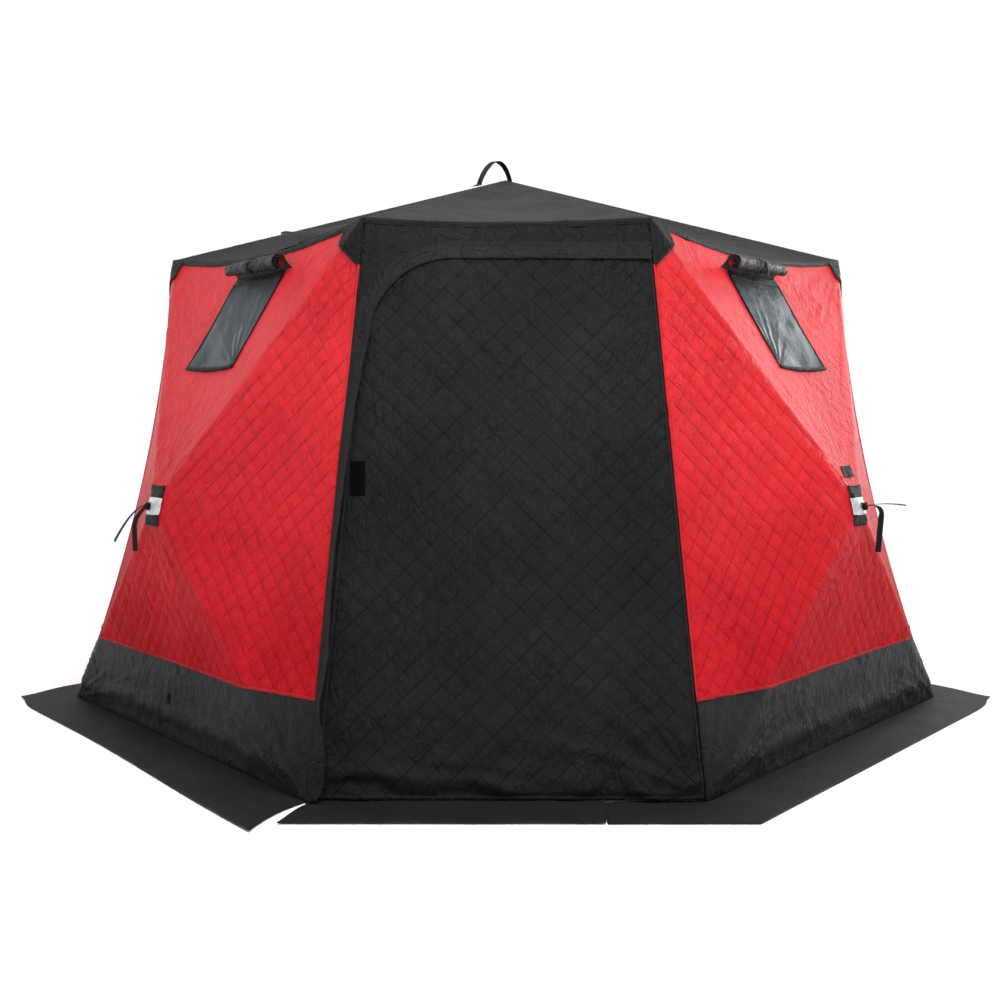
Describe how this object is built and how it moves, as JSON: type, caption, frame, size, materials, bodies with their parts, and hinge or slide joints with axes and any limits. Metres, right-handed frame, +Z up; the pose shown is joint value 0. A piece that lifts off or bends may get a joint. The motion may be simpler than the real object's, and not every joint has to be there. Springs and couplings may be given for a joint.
{
  "type": "pop-up hub ice fishing shelter",
  "caption": "Pop-up insulated ice fishing shelter: six-sided plan, hub-and-pole walls and roof, flat door walls with swinging doors, windows with rolled covers, snow skirt.",
  "frame": {"origin": "on the ground at the middle of the plan", "axes": "+Z up, -Y out of the front door, +X to the right as seen from the front"},
  "size_m": [4.5852, 4.3452, 2.4254],
  "materials": {
    "red_quilt": "satin quilted polyester",
    "black_quilt": "satin quilted polyester",
    "roof_fabric": "satin coated polyester",
    "patch_fabric": "heavy weave",
    "skirt_fabric": "matte coated polyester",
    "window_vinyl": "glossy tinted vinyl",
    "cover_fabric": "satin",
    "webbing": "woven webbing",
    "bracket_plastic": "moulded",
    "flap_fabric": "satin",
    "zip_metal": "nickel plated",
    "hub_plastic": "moulded",
    "pole_fibreglass": "wound fibreglass",
    "stay_plastic": "moulded"
  },
  "bodies": {
    "root": {"wall_front_left": "red_quilt", "wall_front_right": "red_quilt", "wall_back_left": "red_quilt", "wall_back_right": "red_quilt", "base_bands": "black_quilt", "door_wall_front": "black_quilt", "door_wall_back": "black_quilt", "roof_canopy": "roof_fabric", "corner_patches": "patch_fabric", "hub_patches": "patch_fabric", "snow_skirt_left": "skirt_fabric", "snow_skirt_right": "skirt_fabric", "window_panes": "window_vinyl", "window_covers": "cover_fabric", "cover_toggles": "webbing", "band_loops": "webbing", "corner_brackets_top": "bracket_plastic", "corner_brackets_base": "bracket_plastic", "storm_flap_front": "flap_fabric", "storm_flap_back": "flap_fabric"},
    "wall_hub_fl": {"wall_hub_fl": "hub_plastic", "pull_strap_fl": "webbing"},
    "pole_fl_top_door": {"pole_fl_top_door": "pole_fibreglass"},
    "pole_fl_top_side": {"pole_fl_top_side": "pole_fibreglass"},
    "pole_fl_base_door": {"pole_fl_base_door": "pole_fibreglass"},
    "pole_fl_base_side": {"pole_fl_base_side": "pole_fibreglass"},
    "wall_hub_fr": {"wall_hub_fr": "hub_plastic", "pull_strap_fr": "webbing"},
    "pole_fr_top_door": {"pole_fr_top_door": "pole_fibreglass"},
    "pole_fr_top_side": {"pole_fr_top_side": "pole_fibreglass"},
    "pole_fr_base_door": {"pole_fr_base_door": "pole_fibreglass"},
    "pole_fr_base_side": {"pole_fr_base_side": "pole_fibreglass"},
    "wall_hub_bl": {"wall_hub_bl": "hub_plastic", "pull_strap_bl": "webbing"},
    "pole_bl_top_door": {"pole_bl_top_door": "pole_fibreglass"},
    "pole_bl_top_side": {"pole_bl_top_side": "pole_fibreglass"},
    "pole_bl_base_door": {"pole_bl_base_door": "pole_fibreglass"},
    "pole_bl_base_side": {"pole_bl_base_side": "pole_fibreglass"},
    "wall_hub_br": {"wall_hub_br": "hub_plastic", "pull_strap_br": "webbing"},
    "pole_br_top_door": {"pole_br_top_door": "pole_fibreglass"},
    "pole_br_top_side": {"pole_br_top_side": "pole_fibreglass"},
    "pole_br_base_door": {"pole_br_base_door": "pole_fibreglass"},
    "pole_br_base_side": {"pole_br_base_side": "pole_fibreglass"},
    "roof_hub": {"roof_hub": "hub_plastic", "roof_strap": "webbing"},
    "roof_pole_fl": {"roof_pole_fl": "pole_fibreglass"},
    "roof_pole_fr": {"roof_pole_fr": "pole_fibreglass"},
    "roof_pole_l": {"roof_pole_l": "pole_fibreglass"},
    "roof_pole_r": {"roof_pole_r": "pole_fibreglass"},
    "roof_pole_bl": {"roof_pole_bl": "pole_fibreglass"},
    "roof_pole_br": {"roof_pole_br": "pole_fibreglass"},
    "door_front": {"door_front": "black_quilt"},
    "door_skirt_front": {"door_skirt_front": "skirt_fabric"},
    "zip_slider_front": {"zip_slider_front": "zip_metal"},
    "door_back": {"door_back": "black_quilt"},
    "door_skirt_back": {"door_skirt_back": "skirt_fabric"},
    "zip_slider_back": {"zip_slider_back": "zip_metal"},
    "vent_hood": {"vent_hood": "roof_fabric"},
    "vent_prop": {"vent_prop": "stay_plastic"}
  },
  "joints": [
    {"name": "hub_fl_push", "type": "slide", "parent": "root", "child": "wall_hub_fl", "axis": [-0.8038, -0.5639, 0.1893], "range_m": [-0.474, 0], "deforming": ["wall_front_left", "hub_patches"]},
    {"name": "pole_fl_top_door_swing", "type": "hinge", "parent": "root", "child": "pole_fl_top_door", "pos_m": [-0.52964, -1.36712, 1.93295], "axis": [-0.3612, 0.7156, 0.5979], "range_deg": [-21.08, 0]},
    {"name": "pole_fl_top_side_swing", "type": "hinge", "parent": "root", "child": "pole_fl_top_side", "pos_m": [-1.46577, -0.03268, 1.93295], "axis": [-0.5499, 0.5832, -0.5979], "range_deg": [-21.08, 0]},
    {"name": "pole_fl_base_door_swing", "type": "hinge", "parent": "root", "child": "pole_fl_base_door", "pos_m": [-0.6802, -1.78647, 0.04447], "axis": [0.4805, -0.4281, 0.7654], "range_deg": [-20.52, 0]},
    {"name": "pole_fl_base_side_swing", "type": "hinge", "parent": "root", "child": "pole_fl_base_side", "pos_m": [-1.91132, -0.0315, 0.04447], "axis": [0.2389, -0.5976, -0.7654], "range_deg": [-20.52, 0]},
    {"name": "hub_fr_push", "type": "slide", "parent": "root", "child": "wall_hub_fr", "axis": [0.8038, -0.5639, 0.1893], "range_m": [-0.474, 0], "deforming": ["wall_front_right"]},
    {"name": "pole_fr_top_door_swing", "type": "hinge", "parent": "root", "child": "pole_fr_top_door", "pos_m": [0.52964, -1.36712, 1.93295], "axis": [-0.3612, -0.7156, -0.5979], "range_deg": [-21.08, 0]},
    {"name": "pole_fr_top_side_swing", "type": "hinge", "parent": "root", "child": "pole_fr_top_side", "pos_m": [1.46577, -0.03268, 1.93295], "axis": [-0.5499, -0.5832, 0.5979], "range_deg": [-21.08, 0]},
    {"name": "pole_fr_base_door_swing", "type": "hinge", "parent": "root", "child": "pole_fr_base_door", "pos_m": [0.6802, -1.78647, 0.04447], "axis": [0.4805, 0.4281, -0.7654], "range_deg": [-20.52, 0]},
    {"name": "pole_fr_base_side_swing", "type": "hinge", "parent": "root", "child": "pole_fr_base_side", "pos_m": [1.91132, -0.0315, 0.04447], "axis": [0.2389, 0.5976, 0.7654], "range_deg": [-20.52, 0]},
    {"name": "hub_bl_push", "type": "slide", "parent": "root", "child": "wall_hub_bl", "axis": [-0.8038, 0.5639, 0.1893], "range_m": [-0.474, 0], "deforming": ["wall_back_left"]},
    {"name": "pole_bl_top_door_swing", "type": "hinge", "parent": "root", "child": "pole_bl_top_door", "pos_m": [-0.52964, 1.36712, 1.93295], "axis": [0.3612, 0.7156, -0.5979], "range_deg": [-21.08, 0]},
    {"name": "pole_bl_top_side_swing", "type": "hinge", "parent": "root", "child": "pole_bl_top_side", "pos_m": [-1.46577, 0.03268, 1.93295], "axis": [0.5499, 0.5832, 0.5979], "range_deg": [-21.08, 0]},
    {"name": "pole_bl_base_door_swing", "type": "hinge", "parent": "root", "child": "pole_bl_base_door", "pos_m": [-0.6802, 1.78647, 0.04447], "axis": [-0.4805, -0.4281, -0.7654], "range_deg": [-20.52, 0]},
    {"name": "pole_bl_base_side_swing", "type": "hinge", "parent": "root", "child": "pole_bl_base_side", "pos_m": [-1.91132, 0.0315, 0.04447], "axis": [-0.2389, -0.5976, 0.7654], "range_deg": [-20.52, 0]},
    {"name": "hub_br_push", "type": "slide", "parent": "root", "child": "wall_hub_br", "axis": [0.8038, 0.5639, 0.1893], "range_m": [-0.474, 0], "deforming": ["wall_back_right"]},
    {"name": "pole_br_top_door_swing", "type": "hinge", "parent": "root", "child": "pole_br_top_door", "pos_m": [0.52964, 1.36712, 1.93295], "axis": [0.3612, -0.7156, 0.5979], "range_deg": [-21.08, 0]},
    {"name": "pole_br_top_side_swing", "type": "hinge", "parent": "root", "child": "pole_br_top_side", "pos_m": [1.46577, 0.03268, 1.93295], "axis": [0.5499, -0.5832, -0.5979], "range_deg": [-21.08, 0]},
    {"name": "pole_br_base_door_swing", "type": "hinge", "parent": "root", "child": "pole_br_base_door", "pos_m": [0.6802, 1.78647, 0.04447], "axis": [-0.4805, 0.4281, 0.7654], "range_deg": [-20.52, 0]},
    {"name": "pole_br_base_side_swing", "type": "hinge", "parent": "root", "child": "pole_br_base_side", "pos_m": [1.91132, 0.0315, 0.04447], "axis": [-0.2389, 0.5976, -0.7654], "range_deg": [-20.52, 0]},
    {"name": "roof_hub_push", "type": "slide", "parent": "root", "child": "roof_hub", "axis": [0, 0, 1], "range_m": [-0.638, 0], "deforming": ["roof_canopy", "roof_strap"]},
    {"name": "roof_pole_fl_swing", "type": "hinge", "parent": "root", "child": "roof_pole_fl", "pos_m": [-0.4847, -1.33897, 1.985], "axis": [0.9403, -0.3404, 0], "range_deg": [-26.74, 0]},
    {"name": "roof_pole_fr_swing", "type": "hinge", "parent": "root", "child": "roof_pole_fr", "pos_m": [0.4847, -1.33897, 1.985], "axis": [0.9403, 0.3404, 0], "range_deg": [-26.74, 0]},
    {"name": "roof_pole_l_swing", "type": "hinge", "parent": "root", "child": "roof_pole_l", "pos_m": [-1.424, 0, 1.985], "axis": [0, -1, 0], "range_deg": [-26.74, 0]},
    {"name": "roof_pole_r_swing", "type": "hinge", "parent": "root", "child": "roof_pole_r", "pos_m": [1.424, 0, 1.985], "axis": [0, 1, 0], "range_deg": [-26.74, 0]},
    {"name": "roof_pole_bl_swing", "type": "hinge", "parent": "root", "child": "roof_pole_bl", "pos_m": [-0.4847, 1.33897, 1.985], "axis": [-0.9403, -0.3404, 0], "range_deg": [-26.74, 0]},
    {"name": "roof_pole_br_swing", "type": "hinge", "parent": "root", "child": "roof_pole_br", "pos_m": [0.4847, 1.33897, 1.985], "axis": [-0.9403, 0.3404, 0], "range_deg": [-26.74, 0]},
    {"name": "door_front_swing", "type": "hinge", "parent": "root", "child": "door_front", "pos_m": [0.66531, -1.85448, 0.01172], "axis": [-0.078, 0.2155, 0.9734], "range_deg": [0, 150], "deforming": ["storm_flap_front"]},
    {"name": "door_skirt_front_fold", "type": "hinge", "parent": "door_front", "child": "door_skirt_front", "pos_m": [0, -1.86107, 0.004], "axis": [-1, 0, 0], "range_deg": [0, 100.5]},
    {"name": "zip_front_slide", "type": "slide", "parent": "root", "child": "zip_slider_front", "axis": [0.078, 0.2155, 0.9734], "range_m": [0, 1.45]},
    {"name": "door_back_swing", "type": "hinge", "parent": "root", "child": "door_back", "pos_m": [-0.66531, 1.85448, 0.01172], "axis": [0.078, -0.2155, 0.9734], "range_deg": [0, 150], "deforming": ["storm_flap_back"]},
    {"name": "door_skirt_back_fold", "type": "hinge", "parent": "door_back", "child": "door_skirt_back", "pos_m": [0, 1.86107, 0.004], "axis": [1, 0, 0], "range_deg": [0, 100.5]},
    {"name": "zip_back_slide", "type": "slide", "parent": "root", "child": "zip_slider_back", "axis": [-0.078, -0.2155, 0.9734], "range_m": [0, 1.45]},
    {"name": "vent_hood_tilt", "type": "hinge", "parent": "root", "child": "vent_hood", "pos_m": [-0.44573, -1.03689, 2.07429], "axis": [-0.5728, 0.8166, -0.0716], "range_deg": [-15, 0], "deforming": ["vent_hood"]},
    {"name": "vent_prop_fold", "type": "hinge", "parent": "root", "child": "vent_prop", "pos_m": [-0.83151, -0.77639, 1.98614], "axis": [0.5743, -0.8187, 0], "range_deg": [-70.5, 0]}
  ],
  "couplings": [
    {"joint": "pole_fl_top_door_swing", "follows": "hub_fl_push", "rad_per_m": 0.76513},
    {"joint": "pole_fl_top_side_swing", "follows": "hub_fl_push", "rad_per_m": 0.76513},
    {"joint": "pole_fl_base_door_swing", "follows": "hub_fl_push", "rad_per_m": 0.74457},
    {"joint": "pole_fl_base_side_swing", "follows": "hub_fl_push", "rad_per_m": 0.74457},
    {"joint": "pole_fr_top_door_swing", "follows": "hub_fr_push", "rad_per_m": 0.76513},
    {"joint": "pole_fr_top_side_swing", "follows": "hub_fr_push", "rad_per_m": 0.76513},
    {"joint": "pole_fr_base_door_swing", "follows": "hub_fr_push", "rad_per_m": 0.74457},
    {"joint": "pole_fr_base_side_swing", "follows": "hub_fr_push", "rad_per_m": 0.74457},
    {"joint": "pole_bl_top_door_swing", "follows": "hub_bl_push", "rad_per_m": 0.76513},
    {"joint": "pole_bl_top_side_swing", "follows": "hub_bl_push", "rad_per_m": 0.76513},
    {"joint": "pole_bl_base_door_swing", "follows": "hub_bl_push", "rad_per_m": 0.74457},
    {"joint": "pole_bl_base_side_swing", "follows": "hub_bl_push", "rad_per_m": 0.74457},
    {"joint": "pole_br_top_door_swing", "follows": "hub_br_push", "rad_per_m": 0.76513},
    {"joint": "pole_br_top_side_swing", "follows": "hub_br_push", "rad_per_m": 0.76513},
    {"joint": "pole_br_base_door_swing", "follows": "hub_br_push", "rad_per_m": 0.74457},
    {"joint": "pole_br_base_side_swing", "follows": "hub_br_push", "rad_per_m": 0.74457},
    {"joint": "roof_pole_fl_swing", "follows": "roof_hub_push", "rad_per_m": 0.72326},
    {"joint": "roof_pole_fr_swing", "follows": "roof_hub_push", "rad_per_m": 0.72326},
    {"joint": "roof_pole_l_swing", "follows": "roof_hub_push", "rad_per_m": 0.72326},
    {"joint": "roof_pole_r_swing", "follows": "roof_hub_push", "rad_per_m": 0.72326},
    {"joint": "roof_pole_bl_swing", "follows": "roof_hub_push", "rad_per_m": 0.72326},
    {"joint": "roof_pole_br_swing", "follows": "roof_hub_push", "rad_per_m": 0.72326},
    {"joint": "door_skirt_front_fold", "follows": "door_front_swing", "ratio": 0.66667},
    {"joint": "door_skirt_back_fold", "follows": "door_back_swing", "ratio": 0.66667},
    {"joint": "vent_prop_fold", "follows": "vent_hood_tilt", "ratio": 4.6667}
  ]
}
